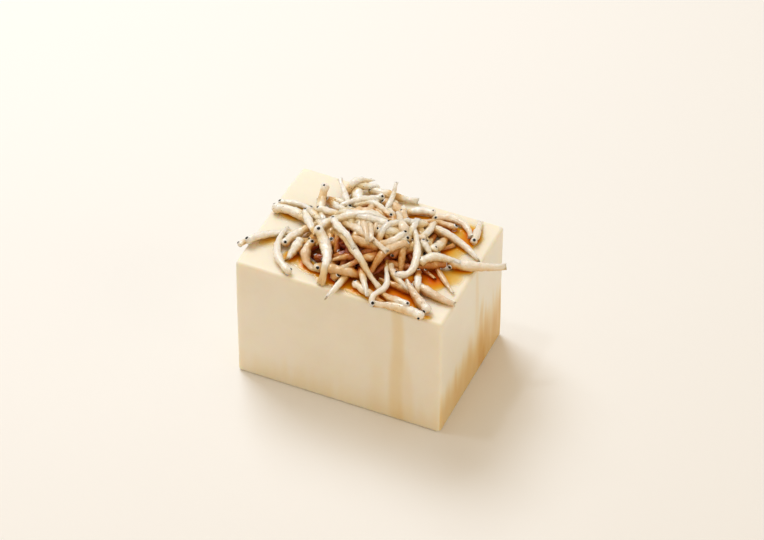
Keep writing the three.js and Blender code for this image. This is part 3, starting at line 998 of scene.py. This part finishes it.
def sauce_tint_group():
    """A node group: the colour of something under so many millimetres of sauce."""
    group = bpy.data.node_groups.new("seen_through_sauce", "ShaderNodeTree")
    for name, way, kind in (
        ("Colour", "INPUT", "Color"), ("Depth", "INPUT", "Float"),
        ("Absorbs", "INPUT", "Vector"), ("Colour", "OUTPUT", "Color"),
        ("Cover", "OUTPUT", "Float"),
    ):
        group.interface.new_socket(name=name, in_out=way, socket_type="NodeSocket" + kind)
    entry = group.nodes.new("NodeGroupInput")
    result = group.nodes.new("NodeGroupOutput")
    there_and_back = times(group, entry.outputs["Depth"], -2.0)
    rates = node(group, "ShaderNodeSeparateXYZ", {0: entry.outputs["Absorbs"]}).outputs
    red, green, blue = [
        math_node(group, "EXPONENT", times(group, there_and_back, rate)) for rate in rates]
    filter_colour = node(group, "ShaderNodeCombineColor",
                         {"Red": red, "Green": green, "Blue": blue}).outputs["Color"]
    tinted = mix_colour(group, 1.0, entry.outputs["Colour"], filter_colour, "MULTIPLY")
    # light that crosses the film once, in blue, says how much the film hides
    cover = math_node(group, "SUBTRACT", 1.0, math_node(group, "SQRT", blue))
    set_inputs(group, result, {"Colour": tinted, "Cover": cover})
    return group


def through_sauce(tree, group, colour, depth_name, absorbs):
    made = node(tree, "ShaderNodeGroup", node_tree=group)
    set_inputs(tree, made, {"Colour": colour, "Depth": reading(tree, depth_name),
                            "Absorbs": absorbs})
    return made.outputs["Colour"], made.outputs["Cover"]


TOFU = {"plain": linear(241, 237, 226), "cloud": linear(238, 233, 219),
        "speck": linear(226, 206, 168)}


def tofu_finish(sauce):
    material, tree, shader = new_material("silken_tofu")
    cloud = noise(tree, 60, 4)
    colour = mix_colour(tree, ranged(tree, cloud, 0.3, 0.7), TOFU["cloud"], TOFU["plain"])
    specks = noise(tree, 900, 2)
    colour = mix_colour(tree, ranged(tree, specks, 0.62, 0.8, 0, 0.12), colour, TOFU["speck"])
    # on the tofu this depth is sauce soaked in, with no painted shade
    colour, _ = through_sauce(tree, sauce, colour, "sauce_and_shade_depth", SOAKED_SAUCE)
    drawn_out = node(tree, "ShaderNodeMapping",
                     {"Vector": object_place(tree), "Scale": (1, 0.05, 0.05)})
    strokes = noise(tree, 1300, 3, drawn_out.outputs["Vector"])
    grain = noise(tree, 2600, 3)
    height = math_node(tree, "ADD", times(tree, strokes, 0.6), times(tree, grain, 0.4))
    set_inputs(tree, shader, {
        "Base Color": colour,
        "Roughness": ranged(tree, cloud, 0.3, 0.7, 0.34, 0.46),
        "IOR": 1.36,
        "Subsurface Weight": 0.55,
        "Subsurface Radius": (1.0, 0.72, 0.42),
        "Subsurface Scale": 0.004,
        "Normal": bumped(tree, height, 0.25, 0.00006),
    })
    return material


FISH = {"dull": linear(248, 242, 233), "pale": linear(255, 254, 252),
        "cloud": linear(238, 224, 205), "streak": linear(255, 254, 251),
        "soaked": linear(226, 190, 142), "dot": linear(58, 48, 44)}
DOTS = {"scale": 1.1, "spread": 0.8, "apart": 50, "radius": (0.17, 0.10), "belly": (0.45, 0.8)}


def fish_finish(sauce):
    material, tree, shader = new_material("boiled_whitebait")
    body = node(tree, "ShaderNodeSeparateXYZ", {0: reading(tree, "body_place", "Vector")})
    along, flank, belly = body.outputs

    cloud = noise(tree, 420, 3)
    pale = mix_colour(tree, reading(tree, "pallor"), FISH["dull"], FISH["pale"])
    pale = mix_colour(tree, ranged(tree, cloud, 0.42, 0.7, 0, 0.3), pale, FISH["cloud"])
    streaks = noise(tree, 3.2, 3, joined(tree, times(tree, along, 0.12), flank, belly))
    pale = mix_colour(tree, ranged(tree, streaks, 0.45, 0.65, 0, 0.6), pale, FISH["streak"])
    soaked = times(tree, reading(tree, "soak"), ranged(tree, cloud, 0.25, 0.65, 0.7, 1.0))
    colour = mix_colour(tree, soaked, pale, FISH["soaked"])

    # dark pigment dots in a row along the belly, set otherwise on every fish
    own_dots = times(tree, reading(tree, "pallor"), DOTS["apart"])
    dots = node(tree, "ShaderNodeTexVoronoi", {
        "Vector": joined(tree, along, flank, own_dots),
        "Scale": DOTS["scale"], "Randomness": DOTS["spread"],
    })
    dotted = times(tree, ranged(tree, dots.outputs["Distance"], *DOTS["radius"]),
                   ranged(tree, belly, *DOTS["belly"]))
    dotted = times(tree, dotted, ranged(tree, reading(tree, "speckle"), 0.3, 0.7))
    colour = mix_colour(tree, dotted, colour, FISH["dot"])

    # on the fish this depth holds the sauce and also the painted shade between the fish
    colour, _ = through_sauce(tree, sauce, colour, "sauce_and_shade_depth", SOAKED_SAUCE)
    wrinkles = times(tree, noise(tree, 1000, 3), 1.6)
    set_inputs(tree, shader, {
        "Base Color": colour,
        "Roughness": ranged(tree, cloud, 0.3, 0.7, 0.2, 0.36),
        "IOR": 1.4,
        "Subsurface Weight": 0.4,
        "Subsurface Radius": (1.0, 0.82, 0.64),
        "Subsurface Scale": 0.0014,
        "Coat Weight": 0.8,
        "Coat Roughness": 0.1,
        "Normal": bumped(tree, math_node(tree, "ADD", streaks, wrinkles), 1.0, 0.00034),
    })
    return material


# The tofu seen under the film, painted lighter than the tofu's own colour: painted light
# standing in for light glowing up through the tofu, which keeps the film bright where the fish
# shade it.
UNDER_FILM_PAINTED_LIGHTER = linear(252, 245, 232)


def sauce_finish(sauce):
    material, tree, shader = new_material("soy_sauce_film")
    colour, cover = through_sauce(tree, sauce, UNDER_FILM_PAINTED_LIGHTER, "film_depth", CLEAR_SAUCE)
    uneven = noise(tree, 500, 2)
    set_inputs(tree, shader, {
        "Base Color": colour,
        "Alpha": cover,
        "Roughness": ranged(tree, uneven, 0.3, 0.7, 0.05, 0.12),
        "IOR": 1.38,
        "Normal": bumped(tree, uneven, 0.3, 0.0002),
    })
    return material


# Both ends of the clouds in the heap's middle, where the sauce has drained, and wet.
DRAINED = (linear(214, 178, 128), linear(238, 214, 176))
WET = (linear(150, 58, 16), linear(205, 120, 44))


def mound_finish():
    material, tree, shader = new_material("sauce_soaked_middle")
    cloud = noise(tree, 350, 3)
    share = ranged(tree, cloud, 0.35, 0.65)
    colour = mix_colour(tree, reading(tree, "soak"), mix_colour(tree, share, *DRAINED),
                        mix_colour(tree, share, *WET))
    set_inputs(tree, shader, {
        "Base Color": colour,
        "Roughness": ranged(tree, cloud, 0.3, 0.7, 0.12, 0.3),
        "Normal": bumped(tree, cloud, 0.6, 0.0006),
    })
    return material


def plain_finish(name, colour, roughness, waver):
    """A finish of nearly one colour, a little cloudy so that it doesn't look flat."""
    material, tree, shader = new_material(name)
    cloud = noise(tree, 1500, 2)
    darker = tuple(channel * (1 - waver) for channel in colour[:3]) + (1.0,)
    set_inputs(tree, shader, {
        "Base Color": mix_colour(tree, cloud, darker, colour),
        "Roughness": ranged(tree, cloud, 0.3, 0.7, roughness, roughness * 1.3),
    })
    return material


# --- the pieces ---


def dress(name, skin, material, slot, *nodes):
    """A finished piece. Its skin is points, faces and the readings its finish needs."""
    piece = add_mesh(name, *skin)
    piece.data.materials.append(material)
    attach(piece, "root")
    if nodes:
        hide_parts(*nodes)


sauce_group = sauce_tint_group()
heap = laid_heap()
fish_looks(heap)
film_points, film_faces, film_depths, film_map = sauce_film(heap)
block_points, block_faces, block_outward = tofu_skin()
stain = tofu_stain(block_points, block_outward, film_map)

dress("tofu_block", (block_points, block_faces, {"sauce_and_shade_depth": stain}),
      tofu_finish(sauce_group), "tofu", "tofu")
dress("soy_sauce", (film_points, film_faces, {"film_depth": film_depths}),
      sauce_finish(sauce_group), "tofu")
dress("soaked_middle", soaked_mound(), mound_finish(), "whitebait")
dress("whitebait_fish", whitebait_fish(heap, film_map), fish_finish(sauce_group),
      "whitebait", "whitebait")
dress("whitebait_eye_rings", eyes(heap, *EYE_RING),
      plain_finish("silvery_eye_ring", linear(238, 240, 244), 0.22, 0.1), "whitebait")
dress("whitebait_eyes", eyes(heap, *EYE_BALL),
      plain_finish("black_eye", linear(14, 14, 18), 0.08, 0.3), "whitebait")

# --- floor, light and camera ---

FLOOR_HALF = 2500
LIGHTS_AIM = (0, 0, 0.03)
# Square soft lights: name, place in metres, size, power, colour.
LIGHTS = [
    ("key", (-0.42, 0.32, 0.80), 0.45, 5.0, (0.90, 0.96, 1.0)),
    ("glint", (-0.28, -0.10, 0.95), 0.06, 0.55, (1.0, 1.0, 1.0)),
    ("side", (1.0, -0.05, 0.55), 0.7, 1.35, (1.0, 0.89, 0.73)),
    ("front_fill", (0.1, -1.0, 0.25), 0.8, 1.05, (1.0, 0.57, 0.19)),
]
SURROUNDINGS = {"Color": (1.0, 0.81, 0.57, 1.0), "Strength": 0.6}


def add_floor():
    corners = [(-1, -1, 0), (1, -1, 0), (1, 1, 0), (-1, 1, 0)]
    floor = add_mesh("floor", np.array(corners) * FLOOR_HALF, [[0, 1, 2, 3]])
    floor.data.materials.append(plain_finish("pale_floor", linear(240, 242, 246), 0.6, 0.01))


def add_area_light(name, place, size, power, colour):
    light = bpy.data.lights.new(name, "AREA")
    light.size = size
    light.energy = power
    light.color = colour
    lamp = add_object(name, light)
    lamp.location = place
    aim = Vector(LIGHTS_AIM) - Vector(place)
    lamp.rotation_euler = aim.to_track_quat("-Z", "Y").to_euler()
    lamp.visible_camera = False


def add_world():
    world = bpy.data.worlds.new("soft_surroundings")
    world.use_nodes = True
    set_inputs(world.node_tree, world.node_tree.nodes["Background"], SURROUNDINGS)
    bpy.context.scene.world = world


# Angles in degrees. It stands away from the middle of the block's top, and a little
# aside and below, so that the block is off centre.
CAMERA = {"elevation": 42.84, "azimuth": 23.70, "roll": 0.30, "distance": 1.3,
          "aside": 0.00396, "below": 0.00864, "focal": 183.3, "sensor": 36.0}


def add_camera():
    swing = Matrix.Rotation(math.radians(CAMERA["azimuth"]), 3, "Z")
    tip = Matrix.Rotation(math.radians(90 - CAMERA["elevation"]), 3, "X")
    roll = Matrix.Rotation(math.radians(CAMERA["roll"]), 3, "Z")
    away = Vector((CAMERA["aside"], -CAMERA["below"], CAMERA["distance"]))
    place = Vector((0, 0, BLOCK["height"] * MM)) + swing @ tip @ away
    data = bpy.data.cameras.new("camera")
    data.sensor_fit = "HORIZONTAL"
    data.sensor_width = CAMERA["sensor"]
    data.lens = CAMERA["focal"]
    data.clip_end = 20
    camera = add_object("camera", data)
    camera.matrix_world = Matrix.Translation(place) @ (swing @ tip @ roll).to_4x4()
    bpy.context.scene.camera = camera


add_floor()
for light in LIGHTS:
    add_area_light(*light)
add_world()
add_camera()
bpy.context.scene.view_settings.view_transform = "Standard"
